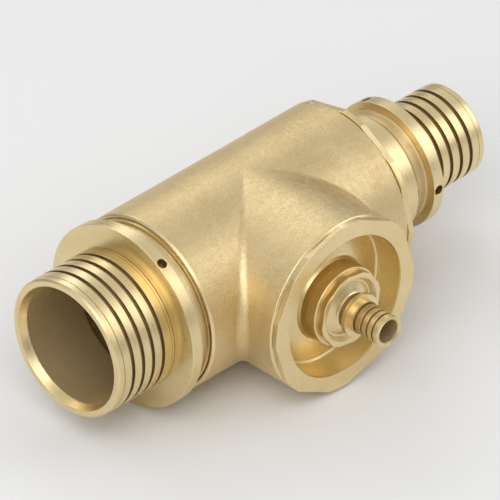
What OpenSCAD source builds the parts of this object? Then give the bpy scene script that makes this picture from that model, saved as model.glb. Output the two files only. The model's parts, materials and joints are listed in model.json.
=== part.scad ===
// Brass pipe tee with screwed-in ends for three sizes of pipe.
// The run lies along X with its large end towards -X, the branch points towards -Y, and the
// origin is where the two axes cross. A turned outline is a list of [radius, distance from the
// origin, edge break], drawn along +Z and then turned towards its port.

/* [Body] */
// Outside diameter of the barrel and of the branch
body_d = 148.8; // [134:0.2:164]
// Distance from the centre to each port face
port_face = 105.6; // [104:0.2:130]
// Wall between the thread of a port and the outside of the barrel
port_wall = 3.3; // [2.6:0.1:6]
// Width of the bevel round each port face
face_bevel = 1.7; // [0.5:0.1:2.2]
// Radius of the cast fillet in the crease between run and branch
crease_r = 7.8; // [4:0.1:12]

/* [Threads and seals] */
// Depth of the female thread in a body port and in the run bushing
thread_len = 24; // [18:0.5:26]
// Length of female thread left free below a screwed-in piece
thread_spare = 2; // [1:0.5:4]
// Step in radius from a female thread down to the smooth bore of the seal
seal_step = 3.6; // [3:0.1:4]
// Length of the smooth bore of a seal
seal_len = 10; // [8:0.5:11]
// Width of the seat at the bottom of a seal bore
seat_w = 3.5; // [2:0.1:4]
// Thickness of the cord of a sealing ring before it is squeezed
cord_d = 4; // [3.7:0.1:4.4]
// Depth of a seal groove
seal_groove_depth = 3.2; // [2.8:0.1:3.4]
// Width of a seal groove
seal_groove_w = 5.2; // [4.8:0.1:6]
// Wall left under a seal groove
seal_wall = 3; // [2:0.1:3.6]
// Radial clearance of a thread
thread_clear = 0.1; // [0.05:0.01:0.2]
// Radial clearance of a nose in its seal bore
nose_clear = 0.15; // [0.1:0.01:0.25]
// Gap between a bushing's nose and the seat below it
nose_gap = 1; // [0.5:0.1:2]

/* [Adaptors] */
// Clear space between the face that an adaptor is screwed into and its collar
collar_gap = 13.7; // [9:0.1:24]
// Length of male thread that stays in sight
thread_show = 2.9; // [2:0.1:6]
// Step in radius from a male thread down to the neck
neck_step = 2.6; // [1.5:0.1:3.5]
// Height of the collar's rim above the neck
collar_rim = 8.4; // [6.5:0.1:12]
// Thickness of a collar at its rim
collar_t = 10.4; // [9.4:0.1:14]
// Slope of the collar's outer face, measured at its root
collar_slope = 1.3; // [0.5:0.1:2]
// Width of the chamfer between neck and collar
neck_chamfer = 1.3; // [0.5:0.1:2]
// Depth of the widened bore inside the collar
cavity_lip = 5.8; // [3:0.1:7]
// Width of the bevel at the inner end of a spigot's bore
lead_in_w = 1.7; // [0.5:0.1:2]
// Length of the bevel at the inner end of a spigot's bore
lead_in_len = 2; // [1:0.1:4]
// Diameter of a spanner hole
spanner_hole_d = 8; // [6:0.1:8.6]
// Depth of a spanner hole
spanner_hole_depth = 8; // [5:0.5:10]
// Number of spanner holes round a collar
spanner_holes = 3; // [2:1:6]

/* [Run spigots] */
// Length of a run spigot from the collar's rim to the tip
spigot_len = 60.6; // [60:0.1:75]
// Diameter of the large spigot
large_spigot_d = 116.6; // [104:0.2:128]
// Wall of the large spigot
large_spigot_wall = 9; // [6:0.1:11]
// Diameter of the run spigot
run_spigot_d = 76.4; // [68:0.2:84]
// Wall of the run spigot
run_spigot_wall = 6.7; // [5:0.1:8]
// Length of the relief at the root of a spigot, from the collar's rim
root_len = 4.4; // [3:0.1:8]
// Step in radius from a spigot down to the relief at its root and to its pilot
ring_step = 0.2; // [0.1:0.05:0.4]
// Distance from the collar's rim to the first grip groove
groove_start = 11.5; // [9:0.1:12]
// Distance from one grip groove to the next
groove_pitch = 10.65; // [8:0.05:10.8]
// Width of a grip groove
groove_w = 3.5; // [2:0.1:4.5]
// Depth of a grip groove
groove_depth = 2.7; // [1.5:0.1:3]
// Number of grip grooves
groove_count = 4; // [2:1:4]
// Length of the pilot behind the tip
pilot_len = 6.5; // [4:0.1:8]
// Width of the bevel round the tip of a spigot
tip_bevel = 1.6; // [0.5:0.1:1.8]
// Width of the flare inside the tip of a spigot
flare_w = 3; // [1:0.1:3.2]
// Depth of the flare inside the tip of a spigot
flare_depth = 6.6; // [3:0.1:12]

/* [Bushings] */
// Thickness of a bushing's octagonal head
head_t = 5.4; // [5:0.1:9]
// Depth of the flats on a bushing's head
head_flat_depth = 2.3; // [1:0.1:2.8]
// Diameter of the run bushing's boss
run_boss_d = 100.6; // [99:0.2:110]
// Length of the run bushing's boss beyond its head
run_boss_len = 30; // [26:0.5:44]
// Wall between the thread in the run bushing and the outside of its boss
run_boss_wall = 2.85; // [2:0.05:5]
// Bevel round the end of a boss
boss_bevel = 1.2; // [0.5:0.1:1.6]
// Thickness of the web that closes a bushing
web_t = 7.5; // [6:0.1:10]
// Turn of the flats on the run bushing's head
run_head_turn = 31.3; // [0:0.1:45]
// Turn of the flats on the branch bushing's head
branch_head_turn = 17; // [0:0.1:45]

/* [Branch bushing] */
// Depth of the recess in the branch bushing
recess_depth = 17.5; // [14:0.1:18]
// Width of the rim round the mouth of the recess
recess_rim = 14.35; // [12:0.05:20]
// How far the wall of the recess leans in from its mouth to its floor
recess_draft = 4.25; // [0.5:0.05:8]
// Width of the chamfer round the recess's floor
recess_chamfer = 1.5; // [0.5:0.1:2.5]
// Diameter of the boss in the recess
branch_boss_d = 66.7; // [62:0.1:74]
// Width of the chamfer at the foot of that boss
boss_foot_w = 1.85; // [0.5:0.05:3]
// Height of the chamfer at the foot of that boss
boss_foot_h = 2.6; // [1:0.1:4]
// Wall between the thread in the branch bushing and the outside of its boss
branch_boss_wall = 5.75; // [4:0.05:7]
// Depth of the female thread in the branch bushing
small_thread_len = 11; // [9:0.1:11.4]

/* [Branch nipple] */
// How far the nipple's head stays back from the edge of the boss under it
nipple_head_step = 1.85; // [0.5:0.05:3]
// Depth of the flats on the nipple's head
nipple_flat_depth = 1.05; // [0.5:0.05:1.4]
// Thickness of the nipple's head
nipple_head_t = 6.5; // [6:0.1:10]
// Turn of the flats on the nipple's head
nipple_head_turn = 35.3; // [0:0.1:45]
// Width of the rim round the mouth of the dish
dish_rim = 4.5; // [3:0.1:6]
// How far the wall of the dish leans in from its mouth to its floor
dish_draft = 2.9; // [1:0.1:4]
// Depth of the dish
dish_depth = 4.6; // [3:0.1:5]
// Width of the chamfer round the dish's floor
dish_chamfer = 1.4; // [0.5:0.1:2]
// Width of the chamfer where the dish meets the neck
hub_chamfer = 0.95; // [0.3:0.05:2]
// Depth of the dish where it meets the neck
dish_hub_depth = 0.4; // [0.2:0.1:2]
// Diameter of the neck
nipple_neck_d = 29; // [26:0.1:32]
// Distance from the head's face to the stop disc
stop_gap = 6.6; // [4:0.1:12]
// Thickness of the stop disc
stop_t = 4.1; // [2:0.1:8]
// Height of the stop disc above the neck
stop_rim = 3.45; // [2:0.05:6]
// Length of the small spigot from the stop disc to the tip
small_spigot_len = 30.4; // [30:0.1:40]
// Diameter of the small spigot
small_spigot_d = 25.9; // [23:0.1:28]
// Height of the root ring above the small spigot
small_root_step = 0.85; // [0.2:0.05:1.5]
// Wall of the small spigot
small_spigot_wall = 3.15; // [2.8:0.05:4]
// How far below its head the nipple's hollow ends and its bore starts
hollow_end = 4; // [2:0.5:6]
// Length of the root ring, up to the first groove
small_root_len = 4.1; // [2:0.1:5]
// Width of a groove in the small spigot
small_groove_w = 1.9; // [1:0.1:2.4]
// Depth of a groove in the small spigot
small_groove_depth = 1.3; // [0.6:0.1:1.5]
// Distance from the stop disc to the second groove
small_groove_start = 10.9; // [9:0.1:11.5]
// Distance from the second groove to the next
small_groove_pitch = 5.9; // [4.5:0.1:6]
// Length of the bevel on the small tip
small_tip_len = 1.8; // [1:0.1:2.2]
// Width of the bevel on the small tip
small_tip_bevel = 0.4; // [0.2:0.1:1]
// Width of the flare inside the small tip
small_flare_w = 1.9; // [0.5:0.1:2]
// Depth of the flare inside the small tip
small_flare_depth = 1.2; // [0.5:0.1:3]

/* [Edges] */
// Break of the larger turned edges
edge_break = 0.5; // [0.2:0.1:0.7]
// Break of the edges of the grooves
groove_break = 0.25; // [0.1:0.05:0.3]

/* [Hidden] */
$fn = 128;

body_r = body_d / 2;
run_boss_r = run_boss_d / 2;
branch_boss_r = branch_boss_d / 2;
nipple_head_r = branch_boss_r - nipple_head_step;
port_thread_r = body_r - port_wall;
run_thread_r = run_boss_r - run_boss_wall;
small_thread_r = branch_boss_r - branch_boss_wall;
port_seat = port_face - thread_len - seal_len;
waterway_r = port_thread_r - seal_step - seat_w;

head_face = port_face + head_t;
run_face = head_face + run_boss_len;
run_seat = run_face - thread_len - seal_len;
small_seat = head_face - small_thread_len - seal_len;
recess_floor = head_face - recess_depth;

nipple_face = head_face + nipple_head_t;
stop_back = nipple_face + stop_gap;
stop_front = stop_back + stop_t;
small_tip = stop_front + small_spigot_len;

// How far a cut runs past the face that it opens
over = 1;
// How deep the crease fillets are rooted in the body's wall, and how far their edges dip into it
fillet_root = 3;
fillet_dip = 0.1;
// Where the crease fillets end, and how finely they are stepped
fillet_end = 80;
fillet_steps = 48;
fillet_cuts = 10;
// Turn of the spanner holes on the two collars
large_hole_turn = 90;
run_hole_turn = 30;

brass = [0.80, 0.65, 0.36];
cast_brass = [0.76, 0.61, 0.34];
rubber = [0.07, 0.07, 0.08];

// The point at distance e from p on the way to q
function toward(p, q, e) =
    let (away = norm([q[0] - p[0], q[1] - p[1]]))
    [p[0] + (q[0] - p[0]) * e / away, p[1] + (q[1] - p[1]) * e / away];

// An outline with each corner cut by its own edge break, where it has one
function eased(corners) =
    let (n = len(corners))
    [for (i = [0:n - 1])
        let (p = corners[i], before = corners[(i + n - 1) % n], after = corners[(i + 1) % n])
        each p[2] == undef
            ? [[p[0], p[1]]]
            : [toward(p, before, p[2]), toward(p, after, p[2])]];

// Corners of one groove in a shaft of radius r, from distance z
function groove(r, z, w, depth, ease) =
    [[r, z, ease], [r - depth, z], [r - depth, z + w], [r, z + w, ease]];

// Corners of a male end: its nose with the seal groove, and its thread up to the given radius
function male_end(thread_r, nose_z, seat, thread_depth) =
    let (nose_r = thread_r - seal_step - nose_clear,
         inner_r = nose_r - seal_groove_depth - seal_wall,
         groove_z = seat + (seal_len - seal_groove_w) / 2,
         thread_z = seat + seal_len + thread_spare)
    concat([[inner_r, nose_z], [nose_r, nose_z, edge_break]],
        groove(nose_r, groove_z, seal_groove_w, seal_groove_depth, groove_break),
        [[nose_r, thread_z], [thread_r - thread_clear, thread_z, edge_break]]);

// Radius of the hollow inside a male end
function hollow_r(thread_r) =
    thread_r - seal_step - nose_clear - seal_groove_depth - seal_wall;

// Corners of a run spigot from the relief at its root to the mouth of its bore
function spigot(spigot_r, bore_r, rim) =
    let (tip = rim + spigot_len,
         pilot = tip - pilot_len,
         low_r = spigot_r - ring_step)
    concat([[low_r, rim + collar_slope], [low_r, rim + root_len], [spigot_r, rim + root_len]],
        [for (i = [0:groove_count - 1])
            each groove(spigot_r, rim + groove_start + i * groove_pitch, groove_w, groove_depth,
                groove_break)],
        [[spigot_r, pilot], [low_r, pilot], [low_r, tip - tip_bevel],
         [low_r - tip_bevel, tip], [bore_r + flare_w, tip], [bore_r, tip - flare_depth]]);

// A ring turned about Z from an outline
module turned(corners) {
    rotate_extrude() polygon(eased(corners));
}

// Turns a piece drawn along +Z towards its port
module at_large_port() {
    rotate([0, -90, 0]) children();
}

module at_run_port() {
    rotate([0, 90, 0]) children();
}

module at_branch_port() {
    rotate([90, 0, 0]) children();
}

// An eight-sided bar with its flats at distance flat from its axis, the first turned by turn
module octagon(flat, turn, z, t) {
    half_side = 360 / 8 / 2;
    translate([0, 0, z]) rotate(turn - half_side)
        cylinder(h = t, r = flat / cos(half_side), $fn = 8);
}

// The space that one body port takes out of the casting
module port_cut() {
    rotate_extrude() polygon([
        [0, 0], [waterway_r, 0], [waterway_r, port_seat],
        [port_thread_r - seal_step, port_seat],
        [port_thread_r - seal_step, port_face - thread_len],
        [port_thread_r, port_face - thread_len],
        [port_thread_r, port_face + over], [0, port_face + over]]);
}

// The outside of the casting round one port
module port_barrel() {
    rotate_extrude() polygon([
        [0, 0], [body_r, 0], [body_r, port_face - face_bevel],
        [body_r - face_bevel, port_face], [0, port_face]]);
}

// Cross-section of the crease fillet at angle t above the middle: points of the arc that a ball
// rolling in the crease leaves between its two lines of contact, then one point in the wall
function fillet_section(t) =
    let (reach = body_r + crease_r,
         to_run = [0, cos(t), -sin(t)],
         to_branch = [cos(t), 0, -sin(t)],
         inward = (to_run + to_branch) / norm(to_run + to_branch),
         ball = [-reach * cos(t), -reach * cos(t), reach * sin(t)] + fillet_dip * inward,
         root_r = body_r - fillet_root)
    concat([for (i = [0:fillet_cuts])
            let (way = to_run * (1 - i / fillet_cuts) + to_branch * i / fillet_cuts)
            ball + crease_r * way / norm(way)],
        [[-root_r * cos(t), -root_r * cos(t), root_r * sin(t)]]);

// The fillet on the large side of the crease
module crease_fillet() {
    ring = fillet_cuts + 2;
    points = [for (k = [0:fillet_steps])
        each fillet_section(-fillet_end + 2 * fillet_end * k / fillet_steps)];
    walls = [for (k = [0:fillet_steps - 1], i = [0:ring - 1])
        let (a = k * ring + i, b = k * ring + (i + 1) % ring)
        each [[a, b + ring, b], [a, a + ring, b + ring]]];
    last = fillet_steps * ring;
    ends = [for (i = [0:ring - 3])
        each [[ring - 1, i, i + 1], [last + ring - 1, last + i + 1, last + i]]];
    polyhedron(points = points, faces = concat(walls, ends));
}

module tee_body() {
    color(cast_brass) difference() {
        union() {
            at_large_port() port_barrel();
            at_run_port() port_barrel();
            at_branch_port() port_barrel();
            crease_fillet();
            mirror([1, 0, 0]) crease_fillet();
        }
        at_large_port() port_cut();
        at_run_port() port_cut();
        at_branch_port() port_cut();
    }
}

// A screwed adaptor: nose and thread, neck, collar with spanner holes, and grooved spigot
module adaptor(face, thread_r, spigot_r, spigot_wall, hole_turn) {
    seat = face - thread_len - seal_len;
    bore_r = spigot_r - spigot_wall;
    male_r = thread_r - thread_clear;
    neck_r = male_r - neck_step;
    collar_r = neck_r + collar_rim;
    collar = face + collar_gap;
    rim = collar + collar_t;
    inner_r = hollow_r(thread_r);
    lip = collar + cavity_lip;
    difference() {
        turned(concat(
            male_end(thread_r, seat, seat, thread_len),
            [[male_r, face + thread_show, edge_break], [neck_r, face + thread_show],
             [neck_r, collar - neck_chamfer], [neck_r + neck_chamfer, collar],
             [collar_r, collar, edge_break], [collar_r, rim, edge_break]],
            spigot(spigot_r, bore_r, rim),
            [[bore_r, lip + lead_in_len], [bore_r + lead_in_w, lip], [inner_r, lip]]));
        for (i = [0:spanner_holes - 1])
            rotate(hole_turn + i * 360 / spanner_holes)
                translate([collar_r - spanner_hole_depth, 0, collar + collar_t / 2])
                    rotate([0, 90, 0]) cylinder(h = spanner_hole_depth + over, d = spanner_hole_d);
    }
}

module large_adaptor() {
    color(brass) at_large_port()
        adaptor(port_face, port_thread_r, large_spigot_d / 2, large_spigot_wall, large_hole_turn);
}

module run_adaptor() {
    color(brass) at_run_port()
        adaptor(run_face, run_thread_r, run_spigot_d / 2, run_spigot_wall, run_hole_turn);
}

module run_bushing() {
    hollow = hollow_r(port_thread_r);
    bore_r = run_thread_r - seal_step;
    color(brass) at_run_port() intersection() {
        turned(concat(
            male_end(port_thread_r, port_seat + nose_gap, port_seat, thread_len),
            [[port_thread_r - thread_clear, port_face], [body_r, port_face, edge_break],
             [body_r, head_face, edge_break], [run_boss_r, head_face],
             [run_boss_r, run_face, boss_bevel], [run_thread_r, run_face],
             [run_thread_r, run_face - thread_len], [bore_r, run_face - thread_len],
             [bore_r, run_seat], [bore_r - seat_w, run_seat],
             [bore_r - seat_w, run_seat - web_t], [hollow, run_seat - web_t]]));
        union() {
            cylinder(h = port_face, r = body_r + over);
            octagon(body_r - head_flat_depth, run_head_turn, port_face - over,
                run_face - port_face + 2 * over);
        }
    }
}

module branch_bushing() {
    hollow = hollow_r(port_thread_r);
    bore_r = small_thread_r - seal_step;
    mouth_r = body_r - recess_rim;
    floor_r = mouth_r - recess_draft;
    web = recess_floor - web_t;
    color(brass) at_branch_port() intersection() {
        turned(concat(
            male_end(port_thread_r, port_seat + nose_gap, port_seat, thread_len),
            [[port_thread_r - thread_clear, port_face], [body_r, port_face, edge_break],
             [body_r, head_face, edge_break], [mouth_r, head_face, edge_break],
             [floor_r, recess_floor + recess_chamfer], [floor_r - recess_chamfer, recess_floor],
             [branch_boss_r + boss_foot_w, recess_floor],
             [branch_boss_r, recess_floor + boss_foot_h],
             [branch_boss_r, head_face, boss_bevel], [small_thread_r, head_face],
             [small_thread_r, head_face - small_thread_len],
             [bore_r, head_face - small_thread_len],
             [bore_r, small_seat], [bore_r - seat_w, small_seat],
             [bore_r - seat_w, web], [hollow, web]]));
        union() {
            cylinder(h = port_face, r = body_r + over);
            octagon(body_r - head_flat_depth, branch_head_turn, port_face - over,
                head_t + 2 * over);
        }
    }
}

module branch_nipple() {
    hollow = hollow_r(small_thread_r);
    spigot_r = small_spigot_d / 2;
    bore_r = spigot_r - small_spigot_wall;
    root_r = spigot_r + small_root_step;
    neck_r = nipple_neck_d / 2;
    stop_r = neck_r + stop_rim;
    hub_r = neck_r + hub_chamfer;
    hub = nipple_face - dish_hub_depth;
    dish_mouth_r = nipple_head_r - dish_rim;
    dish_floor_r = dish_mouth_r - dish_draft;
    dish_floor = nipple_face - dish_depth;
    first = stop_front + small_root_len;
    color(brass) at_branch_port() intersection() {
        turned(concat(
            male_end(small_thread_r, small_seat, small_seat, small_thread_len),
            [[small_thread_r - thread_clear, head_face], [nipple_head_r, head_face, edge_break],
             [nipple_head_r, nipple_face, edge_break], [dish_mouth_r, nipple_face],
             [dish_floor_r, dish_floor + dish_chamfer],
             [dish_floor_r - dish_chamfer, dish_floor], [hub_r, hub],
             [neck_r, hub + hub_chamfer], [neck_r, stop_back],
             [stop_r, stop_back, groove_break], [stop_r, stop_front, groove_break],
             [root_r, stop_front], [root_r, first, groove_break],
             [spigot_r - small_groove_depth, first],
             [spigot_r - small_groove_depth, first + small_groove_w],
             [spigot_r, first + small_groove_w, groove_break]],
            [for (i = [0:2])
                each groove(spigot_r, stop_front + small_groove_start + i * small_groove_pitch,
                    small_groove_w, small_groove_depth, groove_break)],
            [[spigot_r, small_tip - small_tip_len], [spigot_r - small_tip_bevel, small_tip],
             [bore_r + small_flare_w, small_tip], [bore_r, small_tip - small_flare_depth],
             [bore_r, head_face - hollow_end], [hollow, head_face - hollow_end]]));
        union() {
            cylinder(h = head_face, r = nipple_head_r + over);
            octagon(nipple_head_r - nipple_flat_depth, nipple_head_turn, head_face - over,
                small_tip - head_face + 2 * over);
        }
    }
}

// A sealing ring squeezed between the bottom of its groove and the bore round it
module seal(thread_r, seat) {
    bore_r = thread_r - seal_step;
    floor_r = bore_r - nose_clear - seal_groove_depth;
    color(rubber) rotate_extrude() translate([0, seat + seal_len / 2]) intersection() {
        translate([(floor_r + bore_r) / 2, 0]) circle(d = cord_d);
        translate([floor_r, -cord_d / 2]) square([bore_r - floor_r, cord_d]);
    }
}

module large_adaptor_seal() {
    at_large_port() seal(port_thread_r, port_seat);
}

module run_bushing_seal() {
    at_run_port() seal(port_thread_r, port_seat);
}

module branch_bushing_seal() {
    at_branch_port() seal(port_thread_r, port_seat);
}

module run_adaptor_seal() {
    at_run_port() seal(run_thread_r, run_seat);
}

module branch_nipple_seal() {
    at_branch_port() seal(small_thread_r, small_seat);
}

tee_body();
large_adaptor();
run_bushing();
run_adaptor();
branch_bushing();
branch_nipple();
large_adaptor_seal();
run_bushing_seal();
run_adaptor_seal();
branch_bushing_seal();
branch_nipple_seal();
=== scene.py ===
# Brass pipe tee, dressed over its solids. The run lies along X, the branch points to -Y.
import json
import math
import bmesh
import bpy
from mathutils import Matrix, Vector

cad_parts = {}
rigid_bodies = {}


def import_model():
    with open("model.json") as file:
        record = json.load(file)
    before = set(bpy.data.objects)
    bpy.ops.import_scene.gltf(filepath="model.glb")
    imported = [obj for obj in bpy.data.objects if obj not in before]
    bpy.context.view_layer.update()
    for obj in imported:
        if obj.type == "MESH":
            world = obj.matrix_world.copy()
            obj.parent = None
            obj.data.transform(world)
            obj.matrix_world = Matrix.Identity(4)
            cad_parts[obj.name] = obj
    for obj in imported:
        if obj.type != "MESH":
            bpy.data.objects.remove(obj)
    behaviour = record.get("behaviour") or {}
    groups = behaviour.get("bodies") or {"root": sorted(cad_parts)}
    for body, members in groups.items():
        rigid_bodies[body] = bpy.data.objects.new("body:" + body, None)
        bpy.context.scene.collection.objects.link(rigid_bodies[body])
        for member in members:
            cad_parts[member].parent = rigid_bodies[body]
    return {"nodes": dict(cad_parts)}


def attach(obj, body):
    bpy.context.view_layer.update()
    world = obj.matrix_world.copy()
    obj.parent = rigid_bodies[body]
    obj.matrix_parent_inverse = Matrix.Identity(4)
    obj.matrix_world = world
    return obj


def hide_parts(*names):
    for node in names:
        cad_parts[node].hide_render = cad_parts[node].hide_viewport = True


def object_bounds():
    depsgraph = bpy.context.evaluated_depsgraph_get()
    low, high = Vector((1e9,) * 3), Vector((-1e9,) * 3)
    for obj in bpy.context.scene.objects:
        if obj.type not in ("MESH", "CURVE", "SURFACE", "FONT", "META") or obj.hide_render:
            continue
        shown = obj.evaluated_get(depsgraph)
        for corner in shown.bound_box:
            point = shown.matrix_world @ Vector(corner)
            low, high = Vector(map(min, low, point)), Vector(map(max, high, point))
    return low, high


for leftover in list(bpy.data.objects):
    bpy.data.objects.remove(leftover)
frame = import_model()
cad_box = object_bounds()

# Sizes in millimetres, which the solids share where no comment says otherwise
MM = 0.001
BODY_R = 74.4
PORT_FACE = 105.6
PORT_THREAD_R = 71.1
FACE_BEVEL = 1.7
CREASE_R = 7.8
WATERWAY_R = 64.0
PORT_SEAT = 71.6
THREAD_LEN = 24
THREAD_SPARE = 2
SEAL_STEP = 3.6
SEAL_LEN = 10
SEAL_GROOVE_W = 5.2
SEAL_GROOVE_DEPTH = 3.2
SEAL_WALL = 3
THREAD_CLEAR = 0.1
NOSE_CLEAR = 0.15
NOSE_GAP = 1
SEAT_W = 3.5
WEB_T = 7.5

COLLAR_GAP = 13.7
THREAD_SHOW = 2.9
NECK_STEP = 2.6
COLLAR_RIM = 8.4
COLLAR_T = 10.4
COLLAR_SLOPE = 1.3
NECK_CHAMFER = 1.3
CAVITY_LIP = 5.8
LEAD_IN_W = 1.7
LEAD_IN_LEN = 2
SPANNER_HOLES = 3
SPANNER_HOLE_R = 4
SPANNER_HOLE_DEPTH = 8
HOLE_FOOT = 0.4
HOLE_CHAMFER_W = 0.7
HOLE_CHAMFER_LOW = 0.45
HOLE_CHAMFER_HIGH = 0.25
DRILL_OVERRUN = 2
LARGE_HOLE_TURN = 90
RUN_HOLE_TURN = 30

LARGE_SPIGOT_R = 58.3
LARGE_WALL = 9.0
RUN_SPIGOT_R = 38.2
RUN_WALL = 6.7
SPIGOT_LEN = 60.6
ROOT_LEN = 4.4
RING_STEP = 0.2
GROOVES = 4
GROOVE_START = 11.5
GROOVE_PITCH = 10.65
GROOVE_W = 3.5
GROOVE_DEPTH = 2.7
PILOT_LEN = 6.5
TIP_BEVEL = 1.6
FLARE_W = 3
FLARE_DEPTH = 6.6

HEAD_T = 5.4
HEAD_FLAT = 72.1
RUN_HEAD_TURN = 31.3
BRANCH_HEAD_TURN = 17
HEAD_FACE = PORT_FACE + HEAD_T
RUN_BOSS_R = 50.3
RUN_THREAD_R = 47.45
RUN_FACE = HEAD_FACE + 30
RUN_SEAT = RUN_FACE - THREAD_LEN - SEAL_LEN
BOSS_BEVEL = 1.2

# The recess of the branch bushing: its floor falls back as a cone from the boss to the wall,
# where the solid's floor is flat
RECESS_FLOOR = HEAD_FACE - 17.5
RECESS_DEEP = HEAD_FACE - 25.2
RECESS_MOUTH_R = 60.05
RECESS_MOUTH_CHAMFER_W = 0.7
RECESS_MOUTH_CHAMFER_H = 1.6
RECESS_FOOT_R = 59.0
RECESS_FOOT_W = 1.6
RECESS_FOOT_H = 1.1
BRANCH_BOSS_R = 33.35
BOSS_FOOT_W = 1.85
BOSS_FOOT_H = 2.6
SMALL_THREAD_R = 27.6
SMALL_THREAD_LEN = 11
SMALL_SEAT = HEAD_FACE - SMALL_THREAD_LEN - SEAL_LEN

NIPPLE_HEAD_R = 31.5
NIPPLE_FLAT = 30.45
NIPPLE_HEAD_TURN = 35.3
NIPPLE_FACE = HEAD_FACE + 6.5
DISH_MOUTH_R = 27
DISH_FLOOR_R = 24.1
DISH_FLOOR = NIPPLE_FACE - 4.6
# Low ring round the floor of the dish, where the solid has a chamfer
DISH_RING_W = 1.4
DISH_RING_H = 0.15
HUB_CHAMFER = 0.95
HUB = NIPPLE_FACE - 0.4
NIPPLE_NECK_R = 14.5
STOP_R = 17.95
STOP_BACK = NIPPLE_FACE + 6.6
STOP_T = 4.1
STOP_FRONT = STOP_BACK + STOP_T
SMALL_TIP = STOP_FRONT + 30.4
NIPPLE_HOLLOW_END = HEAD_FACE - 4
SMALL_ROOT_R = 13.8
SMALL_SPIGOT_R = 12.95
SMALL_BORE_R = 9.8
SMALL_FIRST_GROOVE = STOP_FRONT + 4.1
SMALL_GROOVES = 3
SMALL_GROOVE_START = STOP_FRONT + 10.9
SMALL_GROOVE_PITCH = 5.9
SMALL_GROOVE_W = 1.9
SMALL_GROOVE_DEPTH = 1.3
SMALL_TAPER_LEN = 1.8
SMALL_TAPER_W = 0.4
SMALL_FLARE_W = 1.9
SMALL_FLARE_DEPTH = 1.2

# Sizes of the broken edges
EDGE = 0.5
CAST_EDGE = 0.4
SOFT_EDGE = 0.3
GROOVE_EDGE = 0.25
FINE_EDGE = 0.15
# Width of the dark line painted beside a small step as its shade
SHADE_LINE_W = 0.6
# Slack of a band that picks the faces for a finish
BAND = 0.1
THIN_BAND = 0.05

# Visible stretch of pipe thread: the rest is plain, as in the solids
THREAD_PITCH = 2.309
THREAD_DEPTH = 1.35
CREST_HALF = 0.3
RIDGE_SINK = 0.3
RIDGE_GAP = 0.06
THREAD_REACH = 0.6
THREAD_RELIEF = 2.5
ENTRY_STEP = 0.5
ENTRY_DEPTH = 1.9
ENTRY_GAP = 0.05
# Height over the thread's root up to which its faces are painted dark, as shade
ROOT_BAND = 0.5

ROUND_STEPS = 240
SMALL_STEPS = 160
DRILL_STEPS = 64
CREASE_STEPS = 6
FLATS = 8
# Angles in degrees: edges that stay sharp, rims of a flat, corners between two flats
SHARP = 35
RIM_ANGLE = 60
FLAT_ANGLE = 9
# Tolerances in millimetres
ON_SKIN = 0.02
TINY = 0.001
# Share of the pipe's radius past which a face belongs to its skin
SKIN_SHARE = 0.97
# Least height of a corner between two flats
UPRIGHT = 2

# Order of the finishes on a screwed piece, after the turned one; the last is dark brass that paints
# shade into grooves, holes, small steps and recesses
BORED = 1
PAINTED_SHADE = 2

# Order of the finishes on the casting, after the cast skin; the last is dark brass that paints
# shade into the ports' mouths
FACED_ON_RUN = 1
FACED_ON_BRANCH = 2
THREAD_MOUTH_SHADE = 3

# Colours from dark to light
CAST_TINTS = (0.70, 0.54, 0.28, 1), (0.80, 0.65, 0.37, 1)
PIT_BROWN = (0.42, 0.30, 0.15, 1)
TURNED_TINTS = (0.77, 0.61, 0.32, 1), (0.84, 0.69, 0.40, 1)
BORED_TINTS = (0.66, 0.51, 0.27, 1), (0.77, 0.62, 0.36, 1)
# The darkest brass paints shade into grooves, holes, small steps and recesses
PAINTED_SHADE_TINTS = (0.30, 0.21, 0.10, 1), (0.40, 0.29, 0.14, 1)
RUBBER_TINTS = (0.030, 0.030, 0.034, 1), (0.055, 0.055, 0.060, 1)
FLOOR_TINTS = (0.80, 0.80, 0.80, 1), (0.83, 0.83, 0.83, 1)

TO_LARGE_PORT = Matrix.Rotation(math.radians(-90), 4, "Y")
TO_RUN_PORT = Matrix.Rotation(math.radians(90), 4, "Y")
TO_BRANCH_PORT = Matrix.Rotation(math.radians(90), 4, "X")


# Shader helpers

def new_material(name):
    material = bpy.data.materials.new(name)
    material.use_nodes = True
    material.node_tree.nodes.clear()
    return material


def add_node(tree, kind, **settings):
    node = tree.nodes.new(kind)
    for key, value in settings.items():
        setattr(node, key, value)
    return node


def set_input(tree, socket, value):
    if isinstance(value, bpy.types.NodeSocket):
        tree.links.new(value, socket)
    else:
        socket.default_value = value


def math_node(tree, operation, first, second):
    node = add_node(tree, "ShaderNodeMath", operation=operation)
    set_input(tree, node.inputs[0], first)
    set_input(tree, node.inputs[1], second)
    return node.outputs[0]


def noise(tree, vector, scale, detail, roughness):
    node = add_node(tree, "ShaderNodeTexNoise")
    tree.links.new(vector, node.inputs["Vector"])
    node.inputs["Scale"].default_value = scale
    node.inputs["Detail"].default_value = detail
    node.inputs["Roughness"].default_value = roughness
    return node.outputs["Fac"]


def ring_noise(tree, rings, scale, detail):
    node = add_node(tree, "ShaderNodeTexNoise", noise_dimensions="1D")
    tree.links.new(rings, node.inputs["W"])
    node.inputs["Scale"].default_value = scale
    node.inputs["Detail"].default_value = detail
    return node.outputs["Fac"]


def spread(tree, value, given, wanted):
    node = add_node(tree, "ShaderNodeMapRange")
    tree.links.new(value, node.inputs["Value"])
    node.inputs["From Min"].default_value = given[0]
    node.inputs["From Max"].default_value = given[1]
    node.inputs["To Min"].default_value = wanted[0]
    node.inputs["To Max"].default_value = wanted[1]
    return node.outputs["Result"]


def blend_colours(tree, factor, first, second):
    node = add_node(tree, "ShaderNodeMix", data_type="RGBA")
    tree.links.new(factor, node.inputs["Factor"])
    set_input(tree, node.inputs["A"], first)
    set_input(tree, node.inputs["B"], second)
    return node.outputs["Result"]


def cloud_tint(tree, cloud, tints):
    return blend_colours(tree, spread(tree, cloud, (0.3, 0.7), (0, 1)), *tints)


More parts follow.
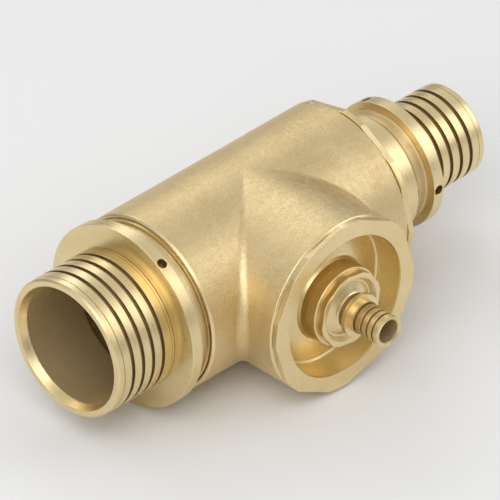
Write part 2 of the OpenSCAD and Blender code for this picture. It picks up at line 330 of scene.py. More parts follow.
def bump(tree, height, depth, normal=None):
    node = add_node(tree, "ShaderNodeBump")
    node.inputs["Strength"].default_value = 1.0
    node.inputs["Distance"].default_value = depth * MM
    tree.links.new(height, node.inputs["Height"])
    if normal is not None:
        tree.links.new(normal, node.inputs["Normal"])
    return node.outputs["Normal"]


def add_shader(tree, metal, colour, rough, normal):
    shader = add_node(tree, "ShaderNodeBsdfPrincipled")
    shader.inputs["Metallic"].default_value = metal
    tree.links.new(colour, shader.inputs["Base Color"])
    set_input(tree, shader.inputs["Roughness"], rough)
    if normal is not None:
        tree.links.new(normal, shader.inputs["Normal"])
    output = add_node(tree, "ShaderNodeOutputMaterial")
    tree.links.new(shader.outputs[0], output.inputs["Surface"])
    return shader


# Finishes

def make_cast_brass():
    material = new_material("cast_brass")
    tree = material.node_tree
    place = add_node(tree, "ShaderNodeTexCoord").outputs["Object"]
    cloud = noise(tree, place, scale=24, detail=4, roughness=0.6)
    grain = noise(tree, place, scale=900, detail=2, roughness=0.6)
    lumps = noise(tree, place, scale=190, detail=3, roughness=0.55)
    pits = spread(tree, grain, (0.36, 0.46), (1, 0))
    pitted = blend_colours(tree, math_node(tree, "MULTIPLY", pits, 0.35),
                           cloud_tint(tree, cloud, CAST_TINTS), PIT_BROWN)
    rough = spread(tree, lumps, (0.3, 0.7), (0.40, 0.56))
    skin = bump(tree, grain, 0.16, bump(tree, lumps, 0.28))
    add_shader(tree, 1.0, pitted, rough, skin)
    return material


def make_cut_brass(name, metal, tints, rough_low, rough_high):
    material = new_material(name)
    tree = material.node_tree
    place = add_node(tree, "ShaderNodeTexCoord").outputs["Object"]
    cloud = noise(tree, place, scale=60, detail=4, roughness=0.6)
    grain = noise(tree, place, scale=1300, detail=2, roughness=0.5)
    rough = spread(tree, cloud, (0.3, 0.7), (rough_high, rough_low))
    add_shader(tree, metal, cloud_tint(tree, cloud, tints), rough, bump(tree, grain, 0.03))
    return material


# The lathe's marks run round the axis, and so does the stretch of the gloss
def make_turned_brass(name, axis):
    material = new_material(name)
    tree = material.node_tree
    place = add_node(tree, "ShaderNodeTexCoord").outputs["Object"]
    split = add_node(tree, "ShaderNodeSeparateXYZ")
    tree.links.new(place, split.inputs[0])
    round_way = add_node(tree, "ShaderNodeVectorMath", operation="CROSS_PRODUCT")
    tree.links.new(place, round_way.inputs[0])
    round_way.inputs[1].default_value = (1, 0, 0) if axis == "X" else (0, 1, 0)
    length = add_node(tree, "ShaderNodeVectorMath", operation="LENGTH")
    tree.links.new(round_way.outputs[0], length.inputs[0])
    off_axis = math_node(tree, "MULTIPLY", length.outputs["Value"], 1.13)
    rings = math_node(tree, "ADD", split.outputs[axis], off_axis)
    band = ring_noise(tree, rings, scale=700, detail=3)
    fine = ring_noise(tree, rings, scale=2600, detail=1)
    cloud = noise(tree, place, scale=30, detail=3, roughness=0.6)
    smudge = noise(tree, place, scale=95, detail=3, roughness=0.6)
    rough = math_node(tree, "ADD", spread(tree, band, (0.3, 0.7), (0.26, 0.35)),
                      spread(tree, smudge, (0.45, 0.75), (0, 0.07)))
    marks = bump(tree, fine, 0.008, bump(tree, band, 0.03))
    shader = add_shader(tree, 1.0, cloud_tint(tree, cloud, TURNED_TINTS), rough, marks)
    shader.inputs["Anisotropic"].default_value = 0.55
    tree.links.new(round_way.outputs[0], shader.inputs["Tangent"])
    return material


def make_seal_rubber():
    material = new_material("seal_rubber")
    tree = material.node_tree
    place = add_node(tree, "ShaderNodeTexCoord").outputs["Object"]
    cloud = noise(tree, place, scale=160, detail=3, roughness=0.6)
    rough = spread(tree, cloud, (0.3, 0.7), (0.42, 0.60))
    add_shader(tree, 0.0, blend_colours(tree, cloud, *RUBBER_TINTS), rough, bump(tree, cloud, 0.05))
    return material


cast_brass = make_cast_brass()
turned_run = make_turned_brass("turned_brass_run", "X")
turned_branch = make_turned_brass("turned_brass_branch", "Y")
bored_brass = make_cut_brass("bored_brass", 0.7, BORED_TINTS, 0.36, 0.48)
# Dark, dull brass: painted shade for grooves, holes, small steps and recesses
painted_shade_brass = make_cut_brass("painted_shade_brass", 0.9, PAINTED_SHADE_TINTS, 0.45, 0.60)
seal_rubber = make_seal_rubber()


# Turned pieces: the outline of each is a ring of corners, given as radius, height and edge

def groove(r, z, width, depth, ease):
    return [(r, z, ease), (r - depth, z, FINE_EDGE), (r - depth, z + width, FINE_EDGE),
            (r, z + width, ease)]


def hollow_r(thread_r):
    return thread_r - SEAL_STEP - NOSE_CLEAR - SEAL_GROOVE_DEPTH - SEAL_WALL


# Nose with its seal groove, up to the start of the male thread
def male_end(thread_r, nose_z, seat):
    nose_r = thread_r - SEAL_STEP - NOSE_CLEAR
    groove_z = seat + (SEAL_LEN - SEAL_GROOVE_W) / 2
    thread_z = seat + SEAL_LEN + THREAD_SPARE
    crest = thread_r - THREAD_CLEAR
    corners = [(hollow_r(thread_r), nose_z, FINE_EDGE), (nose_r, nose_z, EDGE)]
    corners += groove(nose_r, groove_z, SEAL_GROOVE_W, SEAL_GROOVE_DEPTH, GROOVE_EDGE)
    corners += [(nose_r, thread_z), (crest, thread_z, EDGE)]
    return corners


# Lead-in of a female thread, and the plain bore behind it
def thread_entry(thread_r, face):
    lip_r = thread_r - THREAD_CLEAR - THREAD_DEPTH + ENTRY_GAP
    return [(thread_r + ENTRY_STEP, face, FINE_EDGE), (lip_r, face - ENTRY_DEPTH, FINE_EDGE),
            (thread_r, face - ENTRY_DEPTH), (thread_r, face - THREAD_LEN)]


def spin_outline(bm, corners, steps):
    points = [bm.verts.new((corner[0] * MM, 0, corner[1] * MM)) for corner in corners]
    for first, second in zip(points, points[1:] + points[:1]):
        bm.edges.new((first, second))
    eases = sorted({corner[2] for corner in corners if len(corner) > 2})
    for ease in eases:
        picked = [point for point, corner in zip(points, corners)
                  if len(corner) > 2 and corner[2] == ease]
        bmesh.ops.bevel(bm, geom=picked, offset=ease * MM, offset_type="OFFSET",
                        segments=2 if ease == FINE_EDGE else 4, profile=0.5,
                        affect="VERTICES", clamp_overlap=False, material=-1)
    bmesh.ops.spin(bm, geom=bm.verts[:] + bm.edges[:], cent=(0, 0, 0), axis=(0, 0, 1),
                   dvec=(0, 0, 0), angle=math.tau, steps=steps, use_merge=True)
    bmesh.ops.recalc_face_normals(bm, faces=bm.faces)


def cut_flats(bm, flat, turn, low, high):
    for side in range(FLATS):
        angle = math.radians(turn + 360 / FLATS * side)
        normal = Vector((math.cos(angle), math.sin(angle), 0))
        cut = bmesh.ops.bisect_plane(bm, geom=bm.verts[:] + bm.edges[:] + bm.faces[:],
                                     plane_co=normal * flat * MM, plane_no=normal,
                                     clear_outer=True)
        rim = [edge for edge in cut["geom_cut"] if isinstance(edge, bmesh.types.BMEdge)]
        bmesh.ops.edgeloop_fill(bm, edges=rim)
    outside = (flat - ON_SKIN) * MM
    rims = []
    for edge in bm.edges:
        level = {round(vert.co.z / MM, 2) for vert in edge.verts}
        if level not in ({round(low, 2)}, {round(high, 2)}):
            continue
        if min(vert.co.xy.length for vert in edge.verts) < outside:
            continue
        if edge.calc_face_angle(0) > math.radians(RIM_ANGLE):
            rims.append(edge)
    bmesh.ops.bevel(bm, geom=rims, offset=EDGE * MM, offset_type="OFFSET", segments=3,
                    profile=0.5, affect="EDGES", clamp_overlap=False, material=-1)
    for edge in bm.edges:
        upright = abs(edge.verts[0].co.z - edge.verts[1].co.z) > UPRIGHT * MM
        if upright and edge.verts[0].co.xy.length > outside:
            edge.smooth = edge.calc_face_angle(0) < math.radians(FLAT_ANGLE)


def add_thread(bm, crest_r, low, high):
    ridge = bmesh.new()
    root_r = crest_r - THREAD_DEPTH
    half = THREAD_PITCH / 2
    section = [(root_r - RIDGE_SINK, -half), (root_r, RIDGE_GAP - half), (crest_r, -CREST_HALF),
               (crest_r, CREST_HALF), (root_r, half - RIDGE_GAP), (root_r - RIDGE_SINK, half)]
    start = low - THREAD_PITCH
    corners = [ridge.verts.new((r * MM, 0, (start + z) * MM)) for r, z in section]
    face = ridge.faces.new(corners)
    turns = math.ceil((high - start) / THREAD_PITCH) + 1
    bmesh.ops.spin(ridge, geom=corners + face.edges[:] + [face], cent=(0, 0, 0),
                   axis=(0, 0, 1), dvec=(0, 0, THREAD_PITCH / ROUND_STEPS * MM),
                   angle=math.tau * turns, steps=ROUND_STEPS * turns)
    for level, keep_below in ((high, True), (low, False)):
        cut = bmesh.ops.bisect_plane(ridge, geom=ridge.verts[:] + ridge.edges[:] + ridge.faces[:],
                                     plane_co=(0, 0, level * MM), plane_no=(0, 0, 1),
                                     clear_outer=keep_below, clear_inner=not keep_below)
        rim = [edge for edge in cut["geom_cut"] if isinstance(edge, bmesh.types.BMEdge)]
        bmesh.ops.holes_fill(ridge, edges=rim, sides=0)
    bmesh.ops.recalc_face_normals(ridge, faces=ridge.faces)
    join(bm, ridge)


def join(bm, other):
    mesh = bpy.data.meshes.new("joined")
    other.to_mesh(mesh)
    other.free()
    bm.from_mesh(mesh)
    bpy.data.meshes.remove(mesh)


def drill_collar(bm, collar_r, middle, turn):
    cutter = bmesh.new()
    low = collar_r - SPANNER_HOLE_DEPTH
    clear = collar_r + DRILL_OVERRUN
    outline = [(0, low), (SPANNER_HOLE_R - HOLE_FOOT, low), (SPANNER_HOLE_R, low + HOLE_FOOT),
               (SPANNER_HOLE_R, collar_r - HOLE_CHAMFER_LOW),
               (SPANNER_HOLE_R + HOLE_CHAMFER_W, collar_r + HOLE_CHAMFER_HIGH),
               (SPANNER_HOLE_R + HOLE_CHAMFER_W, clear), (0, clear)]
    points = [cutter.verts.new((r * MM, 0, z * MM)) for r, z in outline]
    for first, second in zip(points, points[1:]):
        cutter.edges.new((first, second))
    bmesh.ops.spin(cutter, geom=cutter.verts[:] + cutter.edges[:], cent=(0, 0, 0),
                   axis=(0, 0, 1), dvec=(0, 0, 0), angle=math.tau, steps=DRILL_STEPS,
                   use_merge=True)
    bmesh.ops.remove_doubles(cutter, verts=cutter.verts, dist=2 * TINY * MM)
    drill_mesh = bpy.data.meshes.new("drill")
    cutter.to_mesh(drill_mesh)
    cutter.free()
    drills = bmesh.new()
    for hole in range(SPANNER_HOLES):
        drill = bmesh.new()
        drill.from_mesh(drill_mesh)
        place = (Matrix.Translation((0, 0, middle * MM))
                 @ Matrix.Rotation(math.radians(turn + 360 / SPANNER_HOLES * hole), 4, "Z")
                 @ Matrix.Rotation(math.radians(90), 4, "Y"))
        bmesh.ops.transform(drill, matrix=place, verts=drill.verts)
        join(drills, drill)
    bpy.data.meshes.remove(drill_mesh)
    bmesh.ops.recalc_face_normals(drills, faces=drills.faces)
    subtract(bm, drills)


def subtract(bm, tool):
    holders = []
    for label, source in (("part", bm), ("tool", tool)):
        mesh = bpy.data.meshes.new(label)
        source.to_mesh(mesh)
        holder = bpy.data.objects.new(label, mesh)
        bpy.context.scene.collection.objects.link(holder)
        holders.append(holder)
    tool.free()
    cut = holders[0].modifiers.new("Cut", "BOOLEAN")
    cut.operation = "DIFFERENCE"
    cut.solver = "EXACT"
    cut.object = holders[1]
    bpy.context.view_layer.update()
    done = holders[0].evaluated_get(bpy.context.evaluated_depsgraph_get())
    bm.clear()
    bm.from_mesh(done.to_mesh())
    done.to_mesh_clear()
    bmesh.ops.dissolve_degenerate(bm, dist=TINY * MM, edges=bm.edges)
    for holder in holders:
        mesh = holder.data
        bpy.data.objects.remove(holder)
        bpy.data.meshes.remove(mesh)


def lay_finish(bm, finish, low_r, high_r, low, high):
    for face in bm.faces:
        middle = face.calc_center_median() / MM
        if low_r < middle.xy.length < high_r and low < middle.z < high:
            face.material_index = finish


# Paints the inside of a spanner hole dark, as painted shade
def paint_hole_shade(bm, mouth_r, level, turn):
    way = Vector((math.cos(math.radians(turn)), math.sin(math.radians(turn)), 0))
    for face in bm.faces:
        middle = face.calc_center_median() / MM - Vector((0, 0, level))
        along = middle.dot(way)
        off_axis = (middle - way * along).length
        inside = off_axis < SPANNER_HOLE_R + THIN_BAND
        if inside and mouth_r - SPANNER_HOLE_DEPTH < along < mouth_r:
            face.material_index = PAINTED_SHADE


def place_piece(bm, name, node, materials, to_port=None):
    if to_port is not None:
        bmesh.ops.transform(bm, matrix=to_port, verts=bm.verts)
    for edge in bm.edges:
        edge.smooth = edge.smooth and edge.calc_face_angle(0) < math.radians(SHARP)
    for face in bm.faces:
        face.smooth = True
    mesh = bpy.data.meshes.new(name)
    bm.to_mesh(mesh)
    bm.free()
    for material in materials:
        mesh.materials.append(material)
    piece = bpy.data.objects.new(name, mesh)
    bpy.context.scene.collection.objects.link(piece)
    weigh = piece.modifiers.new("Weighted Normal", "WEIGHTED_NORMAL")
    weigh.keep_sharp = True
    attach(piece, "root")
    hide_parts(node)


def make_adaptor(node, to_port, face, thread_r, spigot_r, spigot_wall, hole_turn):
    seat = face - THREAD_LEN - SEAL_LEN
    male_r = thread_r - THREAD_CLEAR
    neck_r = male_r - NECK_STEP
    collar_r = neck_r + COLLAR_RIM
    collar = face + COLLAR_GAP
    rim = collar + COLLAR_T
    lip = collar + CAVITY_LIP
    tip = rim + SPIGOT_LEN
    pilot = tip - PILOT_LEN
    bore_r = spigot_r - spigot_wall
    low_r = spigot_r - RING_STEP
    core_r = male_r - THREAD_DEPTH
    corners = male_end(thread_r, seat, seat)
    corners += [(male_r, face - THREAD_RELIEF), (core_r, face - THREAD_RELIEF),
                (core_r, face + THREAD_SHOW, FINE_EDGE), (neck_r, face + THREAD_SHOW, SOFT_EDGE),
                (neck_r, collar - NECK_CHAMFER, SOFT_EDGE),
                (neck_r + NECK_CHAMFER, collar, SOFT_EDGE),
                (collar_r, collar, EDGE), (collar_r, rim, EDGE),
                (low_r, rim + COLLAR_SLOPE), (low_r, rim + COLLAR_SLOPE + SHADE_LINE_W),
                (low_r, rim + ROOT_LEN - SHADE_LINE_W), (low_r, rim + ROOT_LEN),
                (spigot_r, rim + ROOT_LEN, FINE_EDGE)]
    for count in range(GROOVES):
        start = rim + GROOVE_START + count * GROOVE_PITCH
        corners += groove(spigot_r, start, GROOVE_W, GROOVE_DEPTH, GROOVE_EDGE)
    corners += [(spigot_r, pilot, FINE_EDGE), (low_r, pilot), (low_r, pilot + SHADE_LINE_W),
                (low_r, tip - TIP_BEVEL, SOFT_EDGE),
                (low_r - TIP_BEVEL, tip, SOFT_EDGE), (bore_r + FLARE_W, tip, SOFT_EDGE),
                (bore_r, tip - FLARE_DEPTH, FINE_EDGE), (bore_r, lip + LEAD_IN_LEN, FINE_EDGE),
                (bore_r + LEAD_IN_W, lip, FINE_EDGE), (hollow_r(thread_r), lip, FINE_EDGE)]
    bm = bmesh.new()
    spin_outline(bm, corners, ROUND_STEPS)
    drill_collar(bm, collar_r, collar + COLLAR_T / 2, hole_turn)
    add_thread(bm, male_r, face - THREAD_REACH, face + THREAD_SHOW)
    # The grooves' walls and floors are painted dark: painted shade
    lay_finish(bm, PAINTED_SHADE, spigot_r - GROOVE_DEPTH - BAND, spigot_r - 2 * GROOVE_EDGE,
               rim + GROOVE_START - BAND, pilot)
    # Dark lines painted beside the small steps stand in for their shade
    for shade_line in (rim + COLLAR_SLOPE, rim + ROOT_LEN - SHADE_LINE_W, pilot):
        lay_finish(bm, PAINTED_SHADE, low_r - BAND, low_r + BAND, shade_line, shade_line + SHADE_LINE_W)
    # The spanner holes are painted dark inside: painted shade
    for hole in range(SPANNER_HOLES):
        paint_hole_shade(bm, collar_r - HOLE_FOOT, collar + COLLAR_T / 2,
                        hole_turn + 360 / SPANNER_HOLES * hole)
    lay_finish(bm, BORED, 0, bore_r + THIN_BAND, lip, tip)
    lay_finish(bm, BORED, 0, hollow_r(thread_r) + BAND, 0, lip + LEAD_IN_LEN)
    # The thread's root and its relief are painted dark: painted shade
    lay_finish(bm, PAINTED_SHADE, core_r - BAND, core_r + ROOT_BAND, face - THREAD_RELIEF,
               face + THREAD_SHOW - 10 * TINY)
    # The neck between thread and collar takes the duller bored brass, whose darker tint paints
    # shade into this recess
    lay_finish(bm, BORED, neck_r - BAND, neck_r + NECK_CHAMFER, face + THREAD_SHOW + 2 * BAND,
               collar - BAND)
    place_piece(bm, node + "_turned", node,
                [turned_run, bored_brass, painted_shade_brass], to_port)


def make_run_bushing():
    hollow = hollow_r(PORT_THREAD_R)
    bore_r = RUN_THREAD_R - SEAL_STEP
    corners = male_end(PORT_THREAD_R, PORT_SEAT + NOSE_GAP, PORT_SEAT)
    corners += [(PORT_THREAD_R - THREAD_CLEAR, PORT_FACE), (BODY_R, PORT_FACE),
                (BODY_R, HEAD_FACE), (RUN_BOSS_R, HEAD_FACE, SOFT_EDGE),
                (RUN_BOSS_R, RUN_FACE, BOSS_BEVEL)]
    corners += thread_entry(RUN_THREAD_R, RUN_FACE)
    corners += [(bore_r, RUN_FACE - THREAD_LEN), (bore_r, RUN_SEAT),
                (bore_r - SEAT_W, RUN_SEAT, FINE_EDGE),
                (bore_r - SEAT_W, RUN_SEAT - WEB_T, EDGE), (hollow, RUN_SEAT - WEB_T)]
    bm = bmesh.new()
    spin_outline(bm, corners, ROUND_STEPS)
    cut_flats(bm, HEAD_FLAT, RUN_HEAD_TURN, PORT_FACE, HEAD_FACE)
    lead_in_r = RUN_THREAD_R - THREAD_DEPTH + FINE_EDGE
    lay_finish(bm, BORED, 0, lead_in_r, 0, RUN_FACE)
    # The thread's lead-in is painted dark: painted shade
    lay_finish(bm, PAINTED_SHADE, lead_in_r, RUN_THREAD_R + ENTRY_STEP,
               RUN_FACE - ENTRY_DEPTH + BAND, RUN_FACE - BAND)
    place_piece(bm, "run_bushing_turned", "run_bushing",
                [turned_run, bored_brass, painted_shade_brass], TO_RUN_PORT)


def make_branch_bushing():
    hollow = hollow_r(PORT_THREAD_R)
    bore_r = SMALL_THREAD_R - SEAL_STEP
    corners = male_end(PORT_THREAD_R, PORT_SEAT + NOSE_GAP, PORT_SEAT)
    corners += [(PORT_THREAD_R - THREAD_CLEAR, PORT_FACE), (BODY_R, PORT_FACE),
                (BODY_R, HEAD_FACE), (RECESS_MOUTH_R, HEAD_FACE, FINE_EDGE),
                (RECESS_MOUTH_R - RECESS_MOUTH_CHAMFER_W, HEAD_FACE - RECESS_MOUTH_CHAMFER_H,
                 FINE_EDGE),
                (RECESS_FOOT_R, RECESS_DEEP + RECESS_FOOT_H, SOFT_EDGE),
                (RECESS_FOOT_R - RECESS_FOOT_W, RECESS_DEEP, SOFT_EDGE),
                (BRANCH_BOSS_R + BOSS_FOOT_W, RECESS_FLOOR, SOFT_EDGE),
                (BRANCH_BOSS_R, RECESS_FLOOR + BOSS_FOOT_H, SOFT_EDGE),
                (BRANCH_BOSS_R, HEAD_FACE, BOSS_BEVEL), (SMALL_THREAD_R, HEAD_FACE, FINE_EDGE),
                (SMALL_THREAD_R, HEAD_FACE - SMALL_THREAD_LEN),
                (bore_r, HEAD_FACE - SMALL_THREAD_LEN), (bore_r, SMALL_SEAT),
                (bore_r - SEAT_W, SMALL_SEAT, FINE_EDGE),
                (bore_r - SEAT_W, RECESS_FLOOR - WEB_T, EDGE), (hollow, RECESS_DEEP - WEB_T)]
    bm = bmesh.new()
    spin_outline(bm, corners, ROUND_STEPS)
    cut_flats(bm, HEAD_FLAT, BRANCH_HEAD_TURN, PORT_FACE, HEAD_FACE)
    place_piece(bm, "branch_bushing_turned", "branch_bushing",
                [turned_branch], TO_BRANCH_PORT)


def make_branch_nipple():
    first_end = SMALL_FIRST_GROOVE + SMALL_GROOVE_W
    deep_r = SMALL_SPIGOT_R - SMALL_GROOVE_DEPTH
    corners = male_end(SMALL_THREAD_R, SMALL_SEAT, SMALL_SEAT)
    corners += [(SMALL_THREAD_R - THREAD_CLEAR, HEAD_FACE), (NIPPLE_HEAD_R, HEAD_FACE),
                (NIPPLE_HEAD_R, NIPPLE_FACE), (DISH_MOUTH_R, NIPPLE_FACE, SOFT_EDGE),
                (DISH_FLOOR_R, DISH_FLOOR + DISH_RING_H, FINE_EDGE),
                (DISH_FLOOR_R - DISH_RING_W, DISH_FLOOR, FINE_EDGE),
                (NIPPLE_NECK_R + HUB_CHAMFER, HUB, SOFT_EDGE),
                (NIPPLE_NECK_R, HUB + HUB_CHAMFER, SOFT_EDGE),
                (NIPPLE_NECK_R, STOP_BACK, SOFT_EDGE),
                (STOP_R, STOP_BACK, GROOVE_EDGE), (STOP_R, STOP_FRONT, GROOVE_EDGE),
                (SMALL_ROOT_R, STOP_FRONT, FINE_EDGE),
                (SMALL_ROOT_R, SMALL_FIRST_GROOVE, GROOVE_EDGE),
                (deep_r, SMALL_FIRST_GROOVE, FINE_EDGE), (deep_r, first_end, FINE_EDGE),
                (SMALL_SPIGOT_R, first_end, GROOVE_EDGE)]
    for count in range(SMALL_GROOVES):
        start = SMALL_GROOVE_START + count * SMALL_GROOVE_PITCH
        corners += groove(SMALL_SPIGOT_R, start, SMALL_GROOVE_W, SMALL_GROOVE_DEPTH, GROOVE_EDGE)
    corners += [(SMALL_SPIGOT_R, SMALL_TIP - SMALL_TAPER_LEN, FINE_EDGE),
                (SMALL_SPIGOT_R - SMALL_TAPER_W, SMALL_TIP, FINE_EDGE),
                (SMALL_BORE_R + SMALL_FLARE_W, SMALL_TIP, FINE_EDGE),
                (SMALL_BORE_R, SMALL_TIP - SMALL_FLARE_DEPTH, FINE_EDGE),
                (SMALL_BORE_R, NIPPLE_HOLLOW_END, FINE_EDGE),
                (hollow_r(SMALL_THREAD_R), NIPPLE_HOLLOW_END, FINE_EDGE)]
    bm = bmesh.new()
    spin_outline(bm, corners, SMALL_STEPS)
    cut_flats(bm, NIPPLE_FLAT, NIPPLE_HEAD_TURN, HEAD_FACE, NIPPLE_FACE)
    # The nipple's grooves are painted dark: painted shade
    lay_finish(bm, PAINTED_SHADE, deep_r - BAND, SMALL_SPIGOT_R - 2 * BAND,
               SMALL_FIRST_GROOVE - BAND, SMALL_TIP - SMALL_TAPER_LEN - BAND)
    lay_finish(bm, BORED, 0, SMALL_BORE_R + THIN_BAND, NIPPLE_HOLLOW_END - BAND, SMALL_TIP)
    # The nipple's neck between hub and stop is painted dark: painted shade
    lay_finish(bm, PAINTED_SHADE, NIPPLE_NECK_R - BAND, NIPPLE_NECK_R + BAND, HUB, STOP_BACK)
    place_piece(bm, "branch_nipple_turned", "branch_nipple",
                [turned_branch, bored_brass, painted_shade_brass], TO_BRANCH_PORT)


# The casting: two pipes, each cut off where the other takes over

def port_outline(shows_thread):
    seal_r = PORT_THREAD_R - SEAL_STEP
    corners = [(BODY_R, PORT_FACE - FACE_BEVEL, CAST_EDGE),
               (BODY_R - FACE_BEVEL, PORT_FACE, SOFT_EDGE)]
    if shows_thread:
        corners += thread_entry(PORT_THREAD_R, PORT_FACE)
    else:
        corners += [(PORT_THREAD_R, PORT_FACE), (PORT_THREAD_R, PORT_FACE - THREAD_LEN)]
    corners += [(seal_r, PORT_FACE - THREAD_LEN), (seal_r, PORT_SEAT),
                (WATERWAY_R, PORT_SEAT, FINE_EDGE)]
    return corners


# Cuts the pipe's skin along the planes between which the crease is filled in
def slice_crease(bm, along_run):
    levels = [step / CREASE_STEPS for step in range(CREASE_STEPS + 1)]
    for side in (1, -1):
        for level in levels:
            slant = BODY_R + CREASE_R * level
            lean = (BODY_R, slant) if along_run else (slant, BODY_R)
            front = []
            for face in bm.faces:
                middle = face.calc_center_median()
                across = middle.y if along_run else middle.x
                outer = math.hypot(across, middle.z) > SKIN_SHARE * BODY_R * MM
                if middle.y < 0 and (outer or level == 0):
                    front.append(face)
            parts = set(front)
            for face in front:
                parts.update(face.edges)
                parts.update(face.verts)
            bmesh.ops.bisect_plane(bm, geom=list(parts), dist=0.1 * TINY * MM, plane_co=(0, 0, 0),
                                   plane_no=(side * lean[0], lean[1], 0))


# Lays the points between those planes on the path of a ball that rolls along both pipes
def round_crease(bm, along_run):
    for vert in bm.verts:
        along, across = (abs(vert.co.x), -vert.co.y) if along_run else (-vert.co.y, abs(vert.co.x))
        if across < TINY * MM or vert.co.y > 0:
            continue
        if abs(math.hypot(across, vert.co.z) / MM - BODY_R) > ON_SKIN:
            continue
        level = (along / across - 1) * BODY_R / CREASE_R
        if not -TINY < level < 1 + TINY:
            continue
        lift = across / MM / BODY_R
        centre = (BODY_R + CREASE_R) * lift
        turn = math.radians(45 * (1 - level) if along_run else 90 - 45 * (1 - level))
        vert.co.x = math.copysign(centre - CREASE_R * lift * math.sin(turn), vert.co.x) * MM
        vert.co.y = (CREASE_R * lift * math.cos(turn) - centre) * MM


def make_pipe(to_port, along_run):
    pipe = bmesh.new()
    corners = port_outline(False)
    if along_run:
        large_port = port_outline(True)
        corners += [(corner[0], -corner[1], *corner[2:]) for corner in reversed(large_port)]
    else:
        corners += [(WATERWAY_R, 0), (BODY_R, 0)]
    spin_outline(pipe, corners, ROUND_STEPS)
    bmesh.ops.transform(pipe, matrix=to_port, verts=pipe.verts)
    slice_crease(pipe, along_run)
    lost = []
    for face in pipe.faces:
        middle = face.calc_center_median()
        inside_branch = middle.y < 0 and abs(middle.x) < -middle.y
        if inside_branch == along_run:
            lost.append(face)
    bmesh.ops.delete(pipe, geom=lost, context="FACES")
    round_crease(pipe, along_run)
    return pipe


def make_cast_body():
    bm = bmesh.new()
    join(bm, make_pipe(TO_RUN_PORT, True))
    join(bm, make_pipe(TO_BRANCH_PORT, False))
    bmesh.ops.remove_doubles(bm, verts=bm.verts, dist=10 * TINY * MM)
    bmesh.ops.recalc_face_normals(bm, faces=bm.faces)
    machined = (PORT_FACE - FACE_BEVEL - SOFT_EDGE) * MM
    mouth_r = (PORT_THREAD_R + ENTRY_STEP - BAND) * MM
    # Faces in the ports' mouths, the lead-in and the thread, take the dark brass: painted shade
    for face in bm.faces:
        middle = face.calc_center_median()
        if abs(middle.x) > machined:
            face.material_index = THREAD_MOUTH_SHADE if middle.yz.length < mouth_r else FACED_ON_RUN
        if -middle.y > machined:
            face.material_index = THREAD_MOUTH_SHADE if middle.xz.length < mouth_r else FACED_ON_BRANCH
    place_piece(bm, "tee_body_cast", "tee_body",
                [cast_brass, turned_run, turned_branch, painted_shade_brass])


make_cast_body()
make_adaptor("large_adaptor", TO_LARGE_PORT, PORT_FACE, PORT_THREAD_R, LARGE_SPIGOT_R,
             LARGE_WALL, LARGE_HOLE_TURN)
make_adaptor("run_adaptor", TO_RUN_PORT, RUN_FACE, RUN_THREAD_R, RUN_SPIGOT_R,
             RUN_WALL, RUN_HOLE_TURN)
make_run_bushing()
make_branch_bushing()
make_branch_nipple()


# Finishes of the solids themselves

NODE_FINISHES = {
    "tee_body": cast_brass,
    "large_adaptor": turned_run,
    "run_bushing": turned_run,
    "run_adaptor": turned_run,
    "branch_bushing": turned_branch,
    "branch_nipple": turned_branch,
}
for node_name, node_object in frame["nodes"].items():
    finish = NODE_FINISHES.get(node_name, seal_rubber)
    node_object.data.materials.clear()
    node_object.data.materials.append(finish)


# Floor, light and camera

def make_floor():
    bm = bmesh.new()
    bmesh.ops.create_circle(bm, cap_ends=True, segments=96, radius=6.0,
                            matrix=Matrix.Translation((0, 0, cad_box[0][2])))
    mesh = bpy.data.meshes.new("floor")
    bm.to_mesh(mesh)
    bm.free()
    material = new_material("pale_floor")
    tree = material.node_tree
    place = add_node(tree, "ShaderNodeTexCoord").outputs["Object"]
    cloud = noise(tree, place, scale=3, detail=2, roughness=0.5)
    add_shader(tree, 0.0, blend_colours(tree, cloud, *FLOOR_TINTS), 0.75, None)
    mesh.materials.append(material)
    floor = bpy.data.objects.new("floor", mesh)
    bpy.context.scene.collection.objects.link(floor)


def add_softbox(name, place, width, height, watts):
    data = bpy.data.lights.new(name, "AREA")
    data.shape = "RECTANGLE"
    data.size = width
    data.size_y = height
    data.energy = watts
    lamp = bpy.data.objects.new(name, data)
    bpy.context.scene.collection.objects.link(lamp)
    lamp.location = place
    lamp.rotation_euler = Vector(place).to_track_quat("Z", "Y").to_euler()
    lamp.visible_camera = False


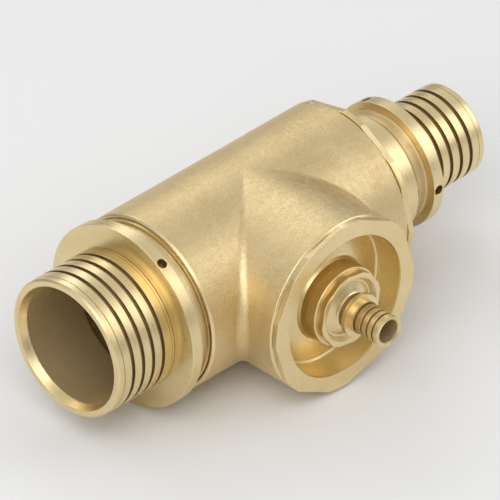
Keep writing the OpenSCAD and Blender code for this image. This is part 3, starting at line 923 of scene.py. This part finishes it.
def make_world():
    world = bpy.data.worlds.new("studio")
    bpy.context.scene.world = world
    world.use_nodes = True
    tree = world.node_tree
    tree.nodes.clear()
    way = add_node(tree, "ShaderNodeTexCoord").outputs["Generated"]
    split = add_node(tree, "ShaderNodeSeparateXYZ")
    tree.links.new(way, split.inputs[0])
    ramp = add_node(tree, "ShaderNodeValToRGB")
    tree.links.new(spread(tree, split.outputs["Z"], (-1, 1), (0, 1)), ramp.inputs["Fac"])
    stops = ramp.color_ramp.elements
    stops[0].position = 0.45
    stops[0].color = (0.32, 0.32, 0.32, 1)
    stops[1].position = 1.0
    stops[1].color = (0.60, 0.60, 0.60, 1)
    for position, grey in ((0.55, 0.23), (0.68, 0.47), (0.80, 0.71)):
        stop = stops.new(position)
        stop.color = (grey, grey, grey, 1)
    light_path = add_node(tree, "ShaderNodeLightPath")
    shown = blend_colours(tree, light_path.outputs["Is Camera Ray"], ramp.outputs["Color"],
                          (0.86, 0.86, 0.86, 1))
    ground = add_node(tree, "ShaderNodeBackground")
    tree.links.new(shown, ground.inputs["Color"])
    output = add_node(tree, "ShaderNodeOutputWorld")
    tree.links.new(ground.outputs[0], output.inputs["Surface"])


# The long lens looks along the isometric angle, and its small turns take up its slight perspective
def make_camera():
    lens = 1500
    width = 0.38362
    azimuth = math.radians(-44.741)
    elevation = math.radians(35.431)
    roll = math.radians(-0.105)
    aim = Vector((2.709, -4.697, -1.988)) * MM
    back = Vector((math.sin(azimuth) * math.cos(elevation),
                   -math.cos(azimuth) * math.cos(elevation), math.sin(elevation)))
    data = bpy.data.cameras.new("camera")
    data.sensor_width = 36
    data.lens = lens
    data.clip_start = 0.1
    data.clip_end = 100
    camera = bpy.data.objects.new("camera", data)
    bpy.context.scene.collection.objects.link(camera)
    camera.location = aim + back * width * lens / data.sensor_width
    level = back.to_track_quat("Z", "Y").to_matrix()
    camera.rotation_euler = (level @ Matrix.Rotation(roll, 3, "Z")).to_euler()
    bpy.context.scene.camera = camera


make_floor()
make_world()
add_softbox("key_softbox", (-1.7, -1.3, 2.3), width=2.5, height=2.4, watts=38)
add_softbox("side_softbox", (1.9, -1.6, 1.5), width=1.5, height=2.0, watts=13)
add_softbox("back_softbox", (0.6, 2.2, 1.9), width=2.4, height=1.0, watts=16)
add_softbox("mouth_softbox", (-2.6, -0.5, 0.9), width=1.1, height=0.9, watts=9)
make_camera()
bpy.context.scene.view_settings.view_transform = "Standard"
